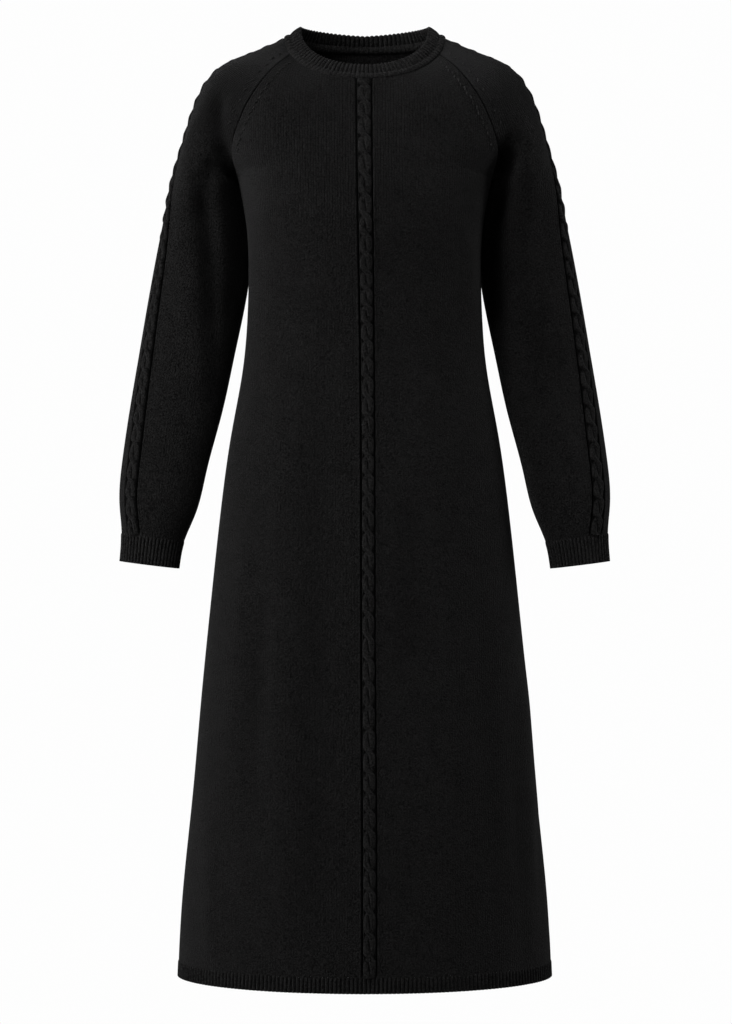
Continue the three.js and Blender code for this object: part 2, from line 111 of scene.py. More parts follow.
# %% The chart of the body
HEM, ARMPIT, NECK_FRONT, NECK_BACK = -1216, -185, -64, -9
HEM_RIB = 20
CLOTH = 2.0  # thickness of the knit

BODY = smooth_table("height half_width side_y square", [
    [-1216, 242.5, 0, 0.552],
    [-1120, 237.3, 0, 0.555],
    [-990, 224.3, 0, 0.56],
    [-860, 212.6, -1, 0.565],
    [-730, 199.6, -2, 0.57],
    [-606, 186.0, -4, 0.575],
    [-508, 172.0, -5, 0.58],
    [-430, 158.0, -7, 0.59],
    [-352, 151.5, -8, 0.605],
    [-300, 150.5, -8, 0.62],
    [-240, 154.0, -6, 0.655],
    [-185, 164.8, 0, 0.7],
])
FRONT_LINE = smooth_table("height depth", [
    [-1216, 145], [-990, 138], [-730, 124], [-508, 111], [-400, 106], [-310, 112],
    [-240, 121], [-185, 117], [-130, 104], [-85, 87], [-64, 79],
])
BACK_LINE = smooth_table("height depth", [
    [-1216, 144], [-990, 137], [-730, 128], [-606, 122], [-480, 107], [-370, 91],
    [-270, 97], [-185, 100], [-120, 95], [-60, 81], [-9, 66],
])

CABLE_LINE = smooth_table("height shift ditch sunk crossings", [
    # how far the cable has drifted from the middle, how far its ditches are from its own middle and
    # how deep they are, and how often its strands have crossed
    [-1196, 6.0, 8.8, 0.9, 44.9],
    [-1049, 6.1, 8.8, 1.0, 39.5],
    [-928, 5.6, 8.7, 1.0, 34.5],
    [-800, 4.8, 8.5, 1.0, 30],
    [-665, 4.4, 8.5, 1.0, 25],
    [-532, 4.2, 8.5, 1.0, 19.5],
    [-388, 3.0, 8.7, 1.0, 13.5],
    [-267, 1.3, 9.2, 1.0, 8],
    [-150, -0.2, 9.7, 0.9, 3.4],
    [-64, -0.8, 9.9, 0.8, -0.4],
])

# %% The chart of the seams and sleeves
SEAM_COLUMNS = "share x y z panel_turn sleeve_turn rise"
FRONT_SEAM = smooth_table(SEAM_COLUMNS, [
    [0, 164.8, 0, -185, 90, -88, 0],
    [0.06, 165.4, -13, -182.3, 83, -73, 2],
    [0.137, 166.8, -30, -174.5, 73, -50, 6],
    [0.295, 170.5, -58, -150, 54, 3, 17],
    [0.446, 161, -73, -119, 44, 34, 24],
    [0.574, 148, -79, -92, 42, 42, 27],
    [0.703, 131.5, -75, -66.5, 46, 46, 30],
    [0.848, 113, -58, -43, 54, 54, 34],
    [1, 95.9, -32, -26, 60, 60, 35],
])
BACK_SEAM = smooth_table(SEAM_COLUMNS, [
    [0, 164.8, 0, -185, 90, -88, 0],
    [0.06, 164.8, 13, -182, 83, -73, 2],
    [0.137, 164.8, 30, -173, 73, -50, 6],
    [0.295, 165, 56, -146, 55, 3, 16],
    [0.446, 154.5, 71, -114, 44, 34, 22],
    [0.574, 140, 80, -86, 40, 40, 24],
    [0.703, 123, 81, -58, 42, 42, 25],
    [0.848, 104, 64, -29, 44, 44, 18],
    [1, 85, 38.7, -5.3, 41, 41, 5],
])
CUFF, ARMPIT_STATION, NECK_STATION = 37, 497, 755  # measured up the outside of the arm
ARM_OUTSIDE = smooth_table("station x y z front_reach back_reach cable", [
    [0, 316.5, -17, -678.5, 34, 34, 30],
    [37, 314.8, -15, -642.0, 37, 37, 31],
    [74, 317.8, -12, -605.0, 43, 43, 32],
    [132, 314.5, -6, -547.0, 45, 45, 32],
    [211, 303.7, 3, -469.0, 48, 48, 30],
    [290, 291.3, 11, -391.0, 52, 53, 28],
    [369, 278.0, 16, -313.0, 57, 58, 26],
    [448, 262.5, 13, -235.0, 66, 67, 24],
    [497, 250.5, 8, -187.0, 73, 75, 21],
    [528, 240.8, 5, -157.0, 63, 65, 13],
    [584, 225.3, 2, -103.0, 50, 52, -2],
    [624, 211.2, 0, -66.0, 43, 45, -9],
    [649, 197.6, 0, -45.5, 40, 42, -12],
    [674, 178.0, 0, -31.0, 36, 39, -14],
    [701, 152.5, 0, -20.5, 29, 33, -14],
    [730, 126.0, 0, -9.5, 21, 24, -13],
    [755, 104.9, 0, 0, 14, 14, -12],
])
ARM_INSIDE = smooth_table("station x y z", [
    [0, 240.6, -17, -688],
    [37, 233.8, -15, -653],
    [74, 219.5, -12, -618],
    [132, 205.5, -7, -563],
    [211, 186.0, 4, -487],
    [290, 170.0, 14, -411],
    [369, 154.5, 23, -333],
    [410, 149.5, 26, -292],
    [448, 150.4, 22, -246],
    [475, 156.8, 13, -212],
    [488, 160.6, 6, -197],
    [497, 164.8, 0, -185],
])
print("length", -HEM, "mm, hem", round(2 * float(BODY.half_width(HEM))), "mm wide")

# %% [markdown]
# ## Rows of knitting
# One row of knitting is one smooth line round the body or the arm. Each is a Bezier curve, which is fixed
# by its two ends and by the directions in which it leaves them. A point of the cloth is found by walking
# along its row, so distances on the cloth stay true and the stitches keep one size over every curve.

# %% Rows as curves
def points(x, y, z):
    return np.stack(np.broadcast_arrays(x, y, z), axis=-1).astype(float)


def place_in(table, key):
    return points(table.x(key), table.y(key), table.z(key))


def mix(start, end, share):
    return start + (end - start) * share


def heading(turn, rise, facing):
    """The direction in which a row leaves a seam: out to the side, round to the back or front, and up."""
    yaw, pitch = np.radians(turn), np.radians(rise)
    return points(np.cos(yaw) * np.cos(pitch), -facing * np.sin(yaw) * np.cos(pitch), np.sin(pitch))


def span(start, leave, arrive, end):
    return np.stack([start, start + leave, end - arrive, end], axis=1)


def trace(spans, steps=160):
    """Each Bezier curve as a line of points."""
    t = np.linspace(0, 1, steps + 1)
    weights = np.stack([(1 - t) ** 3, 3 * (1 - t) ** 2 * t, 3 * (1 - t) * t**2, t**3])
    return np.einsum("kt,rkc->rtc", weights, spans)


def lengths(lines):
    return np.linalg.norm(np.diff(lines, axis=1), axis=2).sum(axis=1)


def measured(line):
    """How far along a line each of its points is."""
    return np.append(0, np.cumsum(np.linalg.norm(np.diff(line, axis=0), axis=1)))


def walk(lines, distances):
    """The points at some distances along each line."""
    places = np.empty(distances.shape + (3,))
    for line, distance, place in zip(lines, distances, places):
        walked = measured(line)
        for axis in range(3):
            place[:, axis] = np.interp(distance, walked, line[:, axis])
    return places


# %% The body's rows
SEAM_PULL = FLAT_REACH = 0.345  # Bezier handles of the yoke's rows, as a share of the distance they span
FLAT_TURN = 42  # degrees


def body_spans(level, facing):
    """Half rows on the +X side, from the centre line to the seam.
    Level 0 is the hem, 1 the armpit and 2 the neck."""
    if facing < 0:
        line, seam, neck = FRONT_LINE, FRONT_SEAM, NECK_FRONT
    else:
        line, seam, neck = BACK_LINE, BACK_SEAM, NECK_BACK
    share = np.maximum(0, level - 1)
    z = np.where(level < 1, mix(HEM, ARMPIT, level), mix(ARMPIT, neck, share))
    centre = points(0, facing * line.depth(z), z)

    edge = points(BODY.half_width(z), BODY.side_y(z), z)
    square = BODY.square(z)
    pull = square * np.abs(centre[:, 1] - edge[:, 1])
    below = span(centre, points(square * edge[:, 0], 0, 0), points(0, -facing * pull, 0), edge)

    edge = place_in(seam, share)
    distance = np.linalg.norm(edge - centre, axis=1)
    turn = seam.panel_turn(share)
    bend = (turn - FLAT_TURN) / (90 - FLAT_TURN)
    half, depth = BODY.half_width(ARMPIT), line.depth(ARMPIT)
    square = BODY.square(ARMPIT) / math.hypot(half, depth)
    reach = mix(FLAT_REACH, square * half, bend) * distance
    pull = mix(SEAM_PULL, square * depth, bend) * distance
    arrive = heading(turn, seam.rise(share), facing) * pull[:, None]
    above = span(centre, points(reach, 0, 0), arrive, edge)
    return np.where((level <= 1)[:, None, None], below, above)


# %% The sleeves' rows
def sleeve_spans(station):
    """Rows of the +X sleeve, in two halves that both start on the outside of the arm."""
    top, low = place_in(ARM_OUTSIDE, station), place_in(ARM_INSIDE, station)
    share = np.maximum(0, (station - ARMPIT_STATION) / (NECK_STATION - ARMPIT_STATION))
    in_tube = (station <= ARMPIT_STATION)[:, None]
    halves = []
    to_front = -1, FRONT_SEAM, ARM_OUTSIDE.front_reach
    to_back = 1, BACK_SEAM, ARM_OUTSIDE.back_reach
    for facing, seam, reach in (to_front, to_back):
        pull = reach(station)[:, None]
        edge = np.where(in_tube, low, place_in(seam, share))
        from_seam = heading(seam.sleeve_turn(share), seam.rise(share), facing)
        leave = np.where(in_tube, [0, facing, 0], from_seam)
        halves.append(span(top, points(0, facing, 0) * pull, -leave * pull, edge))
    return halves


probe = np.array([0.0, 0.5, 1.0])
girths = lengths(trace(body_spans(probe, -1))) * 2 + lengths(trace(body_spans(probe, 1))) * 2
print("girth at hem, hips and bust", girths.round(), "mm")

# %% [markdown]
# ## From flat piece to worn form
# A knitted piece comes off the machine flat. In Blender that is a grid: a primitive with a face for every
# few stitches. Each of its points knows its row and column, so it can be carried to its place on the
# body, and its UV map keeps how far it lies across and up the knitting, in metres. The stitches of the
# material follow that map. A Solidify modifier then gives the cloth its thickness, inwards, so that the
# outside keeps its measured size.

# %% A piece of knitting
DEEPEST = 1.8  # how far below the surface, in millimetres, the painted shade is darkest


def unit(vectors):
    return vectors / np.linalg.norm(vectors, axis=-1, keepdims=True)


def raised(places, height, around=False):
    """The places moved out from the surface by a height."""
    along, up = np.gradient(places, axis=1), np.gradient(places, axis=0)
    if around:
        wrapped = np.concatenate([places[:, -2:-1], places, places[:, 1:2]], axis=1)
        along = (wrapped[:, 2:] - wrapped[:, :-2]) / 2
    return places + unit(np.cross(along, up)) * np.asarray(height)[..., None]


def piece_of_knitting(name, places, across, along, height=0):
    """A grid carried to its places, row by row from the bottom and seen from outside from left to right.
    Where the height is below the surface, the piece stores painted shade for the material, darker the
    deeper it is."""
    rows, columns = places.shape[:2]
    bpy.ops.object.select_all(action="DESELECT")
    bpy.ops.mesh.primitive_grid_add(x_subdivisions=columns - 1, y_subdivisions=rows - 1, size=1)
    piece = bpy.context.object
    piece.name = piece.data.name = name
    mesh = piece.data
    flat = np.empty(len(mesh.vertices) * 3)
    mesh.vertices.foreach_get("co", flat)
    flat = flat.reshape(-1, 3) + 0.5
    column = np.rint(flat[:, 0] * (columns - 1)).astype(int)
    row = np.rint(flat[:, 1] * (rows - 1)).astype(int)
    mesh.vertices.foreach_set("co", (places[row, column] * MM).ravel())
    corner = np.empty(len(mesh.loops), int)
    mesh.loops.foreach_get("vertex_index", corner)
    across, along = np.broadcast_arrays(across, along)
    knit_map = np.stack([across[row, column][corner], along[row, column][corner]], axis=1) * MM
    mesh.uv_layers[0].name = "knit"
    mesh.uv_layers[0].data.foreach_set("uv", knit_map.ravel())
    painted_shade = np.broadcast_to(np.clip(-np.asarray(height, float) / DEEPEST, 0, 1), places.shape[:2])
    mesh.attributes.new("painted_shade", "FLOAT", "POINT").data.foreach_set("value", painted_shade[row, column])
    mesh.update()
    return piece


def close_seam():
    """Joins the edges of the active piece that lie on each other, such as under the arm."""
    bpy.ops.object.mode_set(mode="EDIT")
    bpy.ops.mesh.select_all(action="SELECT")
    bpy.ops.mesh.remove_doubles(threshold=1e-6)
    bpy.ops.object.mode_set(mode="OBJECT")


def give_thickness(piece, thickness=CLOTH):
    bpy.ops.object.modifier_add(type="SOLIDIFY")
    cloth = piece.modifiers[-1]
    cloth.thickness = thickness * MM
    cloth.offset = -1
    bpy.ops.object.modifier_apply(modifier=cloth.name)


def cut_size(name, widths, along):
    """Size off the machine, from the width of each row and how far up it lies."""
    cut = SimpleNamespace(width=widths.max() * MM, length=(along[-1] - along[0]) * MM,
                          area=(widths * np.diff(along, prepend=along[0])).sum() * MM**2)
    print(name, "cut", round(cut.width, 3), "by", round(cut.length, 3), "m, area", round(cut.area, 3))
    return cut


def finish_piece(piece, node, material):
    """Smooths a piece, gives it its finish, hangs it from the root and hides the part of the model that it
    stands for.
    """
    bpy.ops.object.select_all(action="DESELECT")
    piece.select_set(True)
    bpy.context.view_layer.objects.active = piece
    bpy.ops.object.shade_smooth_by_angle(angle=math.radians(50))
    piece.data.materials.clear()
    piece.data.materials.append(material)
    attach(piece, "root")
    if node:
        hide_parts(node)
    faces = sum(len(face.vertices) - 2 for face in piece.data.polygons)
    print(piece.name, faces, "triangles")


# %% [markdown]
# ## Shader sums
# A knit material is mostly arithmetic on the UV map. This small class holds a socket and takes ordinary
# operators, so that a pattern can be written as a sum instead of as a chain of nodes.

# %% Sockets with operators
class Sum:
    """A socket that takes ordinary operators. Each one adds a Math node."""

    def __init__(self, tree, socket):
        self.tree, self.socket = tree, socket

    def node(self, kind, settings=None, **values):
        """Any node. Its settings are set first, then its inputs, by their names or as i and a number.
        The first output is given."""
        made = self.tree.nodes.new(kind)
        for key, value in (settings or {}).items():
            setattr(made, key, value)
        for key, value in values.items():
            inputs = made.inputs[int(key[1:])] if key[1:].isdigit() else made.inputs[key.replace("_", " ")]
            if isinstance(value, Sum):
                self.tree.links.new(value.socket, inputs)
            else:
                inputs.default_value = value
        return Sum(self.tree, made.outputs[0])

    def output(self, name):
        return Sum(self.tree, self.socket.node.outputs[name])

    def sum(self, operation, *others):
        values = {f"i{i}": value for i, value in enumerate((self, *others))}
        return self.node("ShaderNodeMath", {"operation": operation}, **values)

    def __add__(self, other):
        return self.sum("ADD", other)

    def __mul__(self, other):
        return self.sum("MULTIPLY", other)

    def __sub__(self, other):
        return self.sum("SUBTRACT", other)

    def __rsub__(self, other):
        return self.node("ShaderNodeMath", {"operation": "SUBTRACT"}, i0=other, i1=self)

    def __truediv__(self, other):
        return self.sum("DIVIDE", other)

    def __pow__(self, other):
        return self.sum("POWER", other)

    def __abs__(self):
        return self.sum("ABSOLUTE")

    __radd__ = __add__
    __rmul__ = __mul__

    def fraction(self):
        return self.sum("FRACT")

    def sine(self):
        return self.sum("SINE")

    def at_least(self, other):
        return self.sum("MAXIMUM", other)

    def between(self, low, high):
        """0 below low, 1 above high, and smooth between them."""
        ramp = {"interpolation_type": "SMOOTHSTEP"}
        return self.node("ShaderNodeMapRange", ramp, Value=self, From_Min=low, From_Max=high)


def new_material(name):
    material = bpy.data.materials.new(name)
    material.use_nodes = True
    shader = material.node_tree.nodes["Principled BSDF"]
    return material, shader, Sum(material.node_tree, None)


# %% [markdown]
# ## Black wool
# The yarn is fine carded wool. Stocking stitch shows it as columns of small Vs, and its loose fibres
# stand up as a soft nap that blurs the stitches. The V is two slanting legs: the height falls off across
# each leg, and a slanted wave along them cuts it into stitches. Nap is made of two fine noises, in the
# height and in the colour. Black wool reflects very little, so its specular level is low, and a little
# sheen lights the nap where it is seen edge on. The colour also holds painted shade, darker between the
# wales and in the ditches, grooves, folds and clefts that each piece stores.

# %% The knit material
WALE = 3.4 * MM  # width of a column of stitches
COURSE = 2.4 * MM  # height of a row of stitches
FAINT = 0.3  # how plainly the stitches show through the nap on most of the cloth
NAP = SimpleNamespace(scale=560.0, height=2.6, tone=5.4)
CLUMP = SimpleNamespace(scale=38.0, tone=0.6)  # where the fibres lie closer together
IN_SHADE = 0.9  # how much of the colour the painted shade takes away where it is darkest
WARM = 1.02  # the black has a little more red in it


def knit_material(name, black=0.0052, clear=None, depth=1.0, painted_light=0.0):
    """clear says how plainly the stitches show through the nap, from the place on the dress, and the last
    argument how much lighter the colour is painted there: painted light, and painted shade below 0."""
    material, shader, make = new_material(name)
    tree = material.node_tree
    knit_map = make.node("ShaderNodeUVMap", {"uv_map": "knit"})
    separate = make.node("ShaderNodeSeparateXYZ", Vector=knit_map)
    across, along = separate.output("X"), separate.output("Y")
    place = make.node("ShaderNodeTexCoord").output("Object")
    # the attribute holds painted shade: how much darker the colour is painted in ditches, grooves, folds
    # and clefts
    painted_shade = make.node("ShaderNodeAttribute", {"attribute_name": "painted_shade"}).output("Fac")

    column = abs((across / WALE).fraction() - 0.5) * 2  # 0 in the middle of a wale, 1 between two
    leg = (column * math.pi).sine()
    stitch = ((along / COURSE + column * 0.75) * (2 * math.pi)).sine() * 0.5 + 0.5
    groove = column**4
    shown = clear(make, place) if clear else FAINT
    weave = (leg * 0.5 + stitch * leg * 0.4 - groove * 1.0) * shown

    nap = make.node("ShaderNodeTexNoise", Vector=place, Scale=NAP.scale, Detail=2.0, Roughness=0.6)
    clump = make.node("ShaderNodeTexNoise", Vector=place, Scale=CLUMP.scale, Detail=3.0, Roughness=0.55)
    height = weave * depth + (nap - 0.5) * NAP.height

    bump = make.node("ShaderNodeBump", Strength=1.0, Distance=0.9 * MM, Height=height)
    tree.links.new(bump.socket, shader.inputs["Normal"])
    fibres = 1.0 + (nap - 0.5) * NAP.tone + (clump - 0.5) * CLUMP.tone
    # painted shade: the colour is painted darker in the grooves between the wales
    tone = fibres * (1 - groove * 0.6 * shown) * (1 - painted_shade * IN_SHADE)
    # painted light and shade: where the stitches show, the colour is painted lighter on the chest and
    # darker over the shoulders of the sleeves
    tone = tone * ((shown - FAINT) * painted_light + 1.0)
    # a mix stops at 1, so the tone is halved and the colour that it brings in is doubled
    mixer = make.node("ShaderNodeMix", {"data_type": "RGBA"}, i0=tone.at_least(0.04) / 2).socket.node
    mixer.inputs[6].default_value = (0, 0, 0, 1)
    mixer.inputs[7].default_value = (black * 2 * WARM, black * 2, black * 2, 1)
    tree.links.new(mixer.outputs[2], shader.inputs["Base Color"])
    shader.inputs["Roughness"].default_value = 0.95
    shader.inputs["Specular IOR Level"].default_value = 0.05
    shader.inputs["Sheen Weight"].default_value = 0.035
    shader.inputs["Sheen Roughness"].default_value = 0.25
    shader.inputs["Sheen Tint"].default_value = (0.9, 0.9, 0.92, 1)
    return material


def clear_on_chest(make, place):
    """The wales show plainly on the chest, where the cloth is stretched, and blur lower down."""
    height = make.node("ShaderNodeSeparateXYZ", Vector=place).output("Z")
    return height.between(-0.28, -0.17) * (1 - FAINT) + FAINT


def clear_on_shoulders(make, place):
    """On a sleeve the wales show only over the shoulder."""
    height = make.node("ShaderNodeSeparateXYZ", Vector=place).output("Z")
    return height.between(-0.16, -0.08) * 0.9 + FAINT


# painted light on the chest of the front, painted shade over the shoulders of the sleeves
front_wool = knit_material("front wool", clear=clear_on_chest, painted_light=0.3)
# painted light: the sleeves, hem ribs, cuffs, neckband and cables are the same black yarn, painted a little
# lighter
sleeve_wool = knit_material("sleeve wool", black=0.0054, clear=clear_on_shoulders, painted_light=-0.32)
wool = knit_material("wool")
rib_wool = knit_material("rib wool", black=0.0058, depth=0.6)
band_wool = knit_material("band wool", black=0.0076, depth=0.6)
cable_wool = knit_material("cable wool", black=0.0068, depth=0.7)
print("materials", [m.name for m in (front_wool, sleeve_wool, wool, rib_wool, band_wool, cable_wool)])

# %% [markdown]
# ## Front and back
# The front and back are the same shape, but for a lower neck and the cable in front. Beside the cable the
# cloth sinks into a ditch of purl stitches, with one plain wale standing at its outer edge, and at a seam
# the edges turn in. The columns of the grid are close together there and wide apart on the plain cloth,
# which saves faces. Soft folds are laid in one by one: each is a straight trough or ridge with its own
# width and depth. A cloth simulation would settle the dress into folds of its own, and these have to lie
# where the real ones do.

# %% Columns of the panels
DITCH = 9.0  # from the middle of a cable to the middle of the ditch beside it
DITCH_DEPTH, UNDER_CABLE, WALE_HEIGHT, WALE_FROM_DITCH = 2.6, 1.2, 0.6, 2.6
CABLE_OFFSETS = np.array([0, 3.4, 6.2, 7.2, 7.9, 8.4, 9.0, 9.6, 10.1, 10.8, 11.6, 12.6, 14.5])
CABLE_COLUMNS = np.concatenate([-CABLE_OFFSETS[:0:-1], CABLE_OFFSETS])
SEAM_OFFSETS = np.array([0, 0.45, 0.9, 1.5, 2.4, 4.2, 7])
SEAM_DEPTH = 1.4


def between(start, end, count):
    """Columns between two others, without either."""
    return start + (end - start) * np.linspace(0, 1, count + 2)[1:-1]


def columns(first_edge, last_edge, middle, wide, count):
    """Distances across each row, close together at both edges and beside the cable."""
    each_row = first_edge, last_edge, middle, wide
    first_edge, last_edge, middle, wide = (value[:, None] for value in each_row)
    first = first_edge + SEAM_OFFSETS
    strip = middle + wide * CABLE_COLUMNS
    last = last_edge - SEAM_OFFSETS[::-1]
    plain = between(first[:, -1:], strip[:, :1], count), between(strip[:, -1:], last[:, :1], count)
    return np.concatenate([first, plain[0], strip, plain[1], last], axis=1)


def ditch(offset):
    """Height of the cloth beside a cable: a narrow purl ditch, then a plain wale that stands up."""
    d = np.abs(offset) - DITCH
    sunk = -DITCH_DEPTH * np.exp(-((d / 1.15) ** 4))
    under_cable = -UNDER_CABLE * (1 - np.tanh(d / 0.7)) / 2
    wale = WALE_HEIGHT * np.exp(-((d - WALE_FROM_DITCH) ** 2))
    return np.minimum(sunk, under_cable) + wale


def seam_groove(distance):
    """Height of the cloth beside a seam: a narrow groove, and a low swell next to it."""
    return -SEAM_DEPTH * np.exp(-((distance / 0.65) ** 2)) + 0.5 * np.exp(-(((distance - 2.6) / 1.5) ** 2))


def folds(x, z, table):
    """Height of soft folds, each a line from one point to another with a width and a depth."""
    height = np.zeros(np.broadcast(x, z).shape)
    for x0, z0, x1, z1, width, depth in table:
        length = math.hypot(x1 - x0, z1 - z0)
        along = ((x - x0) * (x1 - x0) + (z - z0) * (z1 - z0)) / length**2
        aside = ((x - x0) * (z1 - z0) - (z - z0) * (x1 - x0)) / length
        fade = np.exp(-((np.maximum(0, np.abs(along - 0.5) - 0.3) / 0.2) ** 2))
        height += depth * fade * np.exp(-((aside / width) ** 2))
    return height


# %% The panels
FRONT_FOLDS = [
    # x, z, x, z, width, depth
    [-70, -190, 60, -232, 16, -1.6],
    [-120, -330, 60, -420, 20, -1.0],
    [132, -262, 140, -395, 9, 2.2],
    [118, -250, 122, -400, 12, -1.4],
    [-150, -640, -172, -900, 16, 2.4],
    [-128, -700, -150, -1000, 17, -2.4],
    [-114, -500, -102, -1150, 18, 2.0],
    [-64, -470, -62, -1160, 24, -2.6],
    [56, -600, 50, -820, 20, -2.0],
    [104, -640, 120, -1000, 20, 1.8],
    [150, -760, 168, -1080, 16, -2.0],
    [203, -830, 216, -1080, 9, 3.0],
    [190, -930, 206, -1200, 9, -2.0],
    [222, -1010, 232, -1150, 8, -2.4],
    [-200, -1000, -196, -1190, 12, 2.4],
]
BACK_FOLDS = [
    [-120, -600, -170, -1180, 26, -3.2],
    [-60, -640, -80, -1160, 22, 2.0],
    [10, -640, -10, -1200, 30, 2.4],
    [110, -620, 150, -1200, 26, -3.0],
    [60, -700, 84, -1180, 20, 2.0],
    [-130, -330, 20, -410, 20, -2.2],
    [130, -320, -10, -400, 20, -2.0],
]


SINKS, SHADED = 30, 6  # how far above the armpit a seam begins to sink, and to look dark


def near_armpit(up, start):
    """Strength of a seam's groove at a height above the armpit: none there, where it would open a slit,
    all of it on the raglan line, and a little down the side."""
    return np.clip((up - start) / 29, 0, 1) + 0.25 * np.clip((-30 - up) / 20, 0, 1)


def seam_beside(to_seam, up):
    """Height of the cloth beside a seam, and how much deeper than that it is shaded."""
    groove = seam_groove(to_seam)
    sunk = groove * near_armpit(up, SINKS)[:, None]
    return sunk, groove * near_armpit(up, SHADED)[:, None] - sunk


def above_rib(up):
    """0 where the cloth begins at the top of a rib, and 1 a little above it."""
    return np.clip(up / 6, 0, 1)


BODY_ROWS, YOKE_ROWS, BODY_COLUMNS = 190, 46, 44  # of the grid, the columns on each side of the cable
BODY_FOLD_SHADE = 0.16  # how much of a fold's depth shows as shade
ARM_SHADE = SimpleNamespace(reach=18, height=-275, half=75, depth=0.5)  # on the body, beside the left arm


def body_panel(name, facing, table, cable_at_middle):
    rib_top = HEM_RIB / (ARMPIT - HEM)
    below = np.linspace(rib_top, 1, BODY_ROWS, endpoint=False)
    levels = np.append(below, np.linspace(1, 2, YOKE_ROWS))
    half = trace(body_spans(levels, facing))
    reach = lengths(half)
    z = half[:, 0, 2]
    shift, wide = np.zeros_like(z), np.ones_like(z)
    if cable_at_middle:
        shift, wide = CABLE_LINE.shift(z), CABLE_LINE.ditch(z) / DITCH
    across = columns(-reach, reach, shift, wide, BODY_COLUMNS)
    places = walk(half, np.abs(across))
    places[..., 0] *= -facing * np.sign(across)
    to_seam = reach[:, None] - np.abs(across)
    relief, seam_shade = seam_beside(to_seam, z - ARMPIT)
    if cable_at_middle:
        relief = relief + ditch((across - shift[:, None]) / wide[:, None]) * CABLE_LINE.sunk(z)[:, None]
    relief = relief * above_rib(z - HEM - HEM_RIB)[:, None]
    folded = folds(-facing * places[..., 0], places[..., 2], table)
    along = measured(half[:, 0])
    across = across - shift[:, None]
    beside_arm = (to_seam / ARM_SHADE.reach) ** 2 + ((z[:, None] - ARM_SHADE.height) / ARM_SHADE.half) ** 4
    arm_shade = ARM_SHADE.depth * np.exp(-beside_arm) * (across > 0) * (facing < 0)
    # painted shade: the colour is painted darker in the ditches and seam grooves, in the troughs of folds
    # and on the body beside the left arm
    painted_shade = relief + seam_shade + BODY_FOLD_SHADE * np.minimum(folded, 0) - arm_shade
    piece = piece_of_knitting(name, raised(places, relief + folded), across, along[:, None], painted_shade)
    give_thickness(piece)
    return piece, cut_size(name, 2 * reach, along)


front, front_cut = body_panel("front_knit", -1, FRONT_FOLDS, True)
finish_piece(front, "front_panel", front_wool)
back, back_cut = body_panel("back_knit", 1, BACK_FOLDS, False)
finish_piece(back, "back_panel", wool)

# %% [markdown]
# ## Sleeves
# A raglan sleeve is one piece: a tube up to the armpit, closed by a seam under the arm, and above it a
# tongue that narrows to the neck. Its cable runs down the outside of the arm. Both sleeves are the same
# shape in mirror image, but a knitter crosses all the cables the same way, so the right cable isn't a
# mirror image of the left.

# %% The sleeves
SLEEVE_CABLE = 0.95  # its width as a share of a cable with ditches at DITCH
SLEEVE_FOLD_SHADE = 0.15
RAGLAN_CLIMB = 0.45  # how much of a step up the sleeve is a step in height
ARM_ROWS, SHOULDER_ROWS, SLEEVE_COLUMNS = 92, 60, 20  # of the grid, the columns on each side of the cable
SLEEVE_FOLDS = {
    # across, station, across, station, width, depth
    "right": [
        [-50, 560, -66, 390, 26, 4.0],
        [-66, 390, -110, 240, 26, 3.0],
        [-62, 628, -104, 556, 12, -7.0],
        [-100, 570, -128, 500, 10, -5.0],
        [-92, 540, -76, 450, 13, -4.0],
        [-76, 480, -110, 320, 13, -6.5],
        [-104, 340, -134, 220, 14, -3.0],
        [-100, 500, -104, 410, 10, 2.4],
        [-134, 520, -134, 330, 16, -5.0],
        [40, 300, 80, 420, 18, -3.0],
        [60, 120, 90, 260, 18, -2.4],
    ],
    "left": [
        [-88, 600, -116, 450, 14, -6.5],
        [-116, 480, -136, 330, 15, -6.5],
        [-72, 560, -90, 380, 22, 3.6],
        [-52, 520, -60, 400, 14, -1.6],
        [-70, 230, -96, 340, 18, -1.6],
        [-60, 120, -84, 230, 18, 1.4],
        [44, 310, 76, 430, 18, -3.0],
        [56, 110, 86, 250, 18, -2.4],
    ],
}
CLEFT = smooth_table("station right left", [
    # how far from the middle of the underarm the cloth lies in the dark between arm and body
    [37, 2, 2], [120, 8, 8], [210, 17, 16], [300, 33, 27], [360, 39, 35], [420, 37, 42], [480, 30, 46],
    [510, 17, 41], [535, 5, 32], [560, 0, 20], [600, 0, 0], [755, 0, 0],
])


def sleeve_places(station, across, left):
    to_front, to_back = (trace(half) for half in sleeve_spans(station))
    places = np.where((across < 0)[..., None], walk(to_front, -across), walk(to_back, across))
    return places if left else places * [-1, 1, 1]


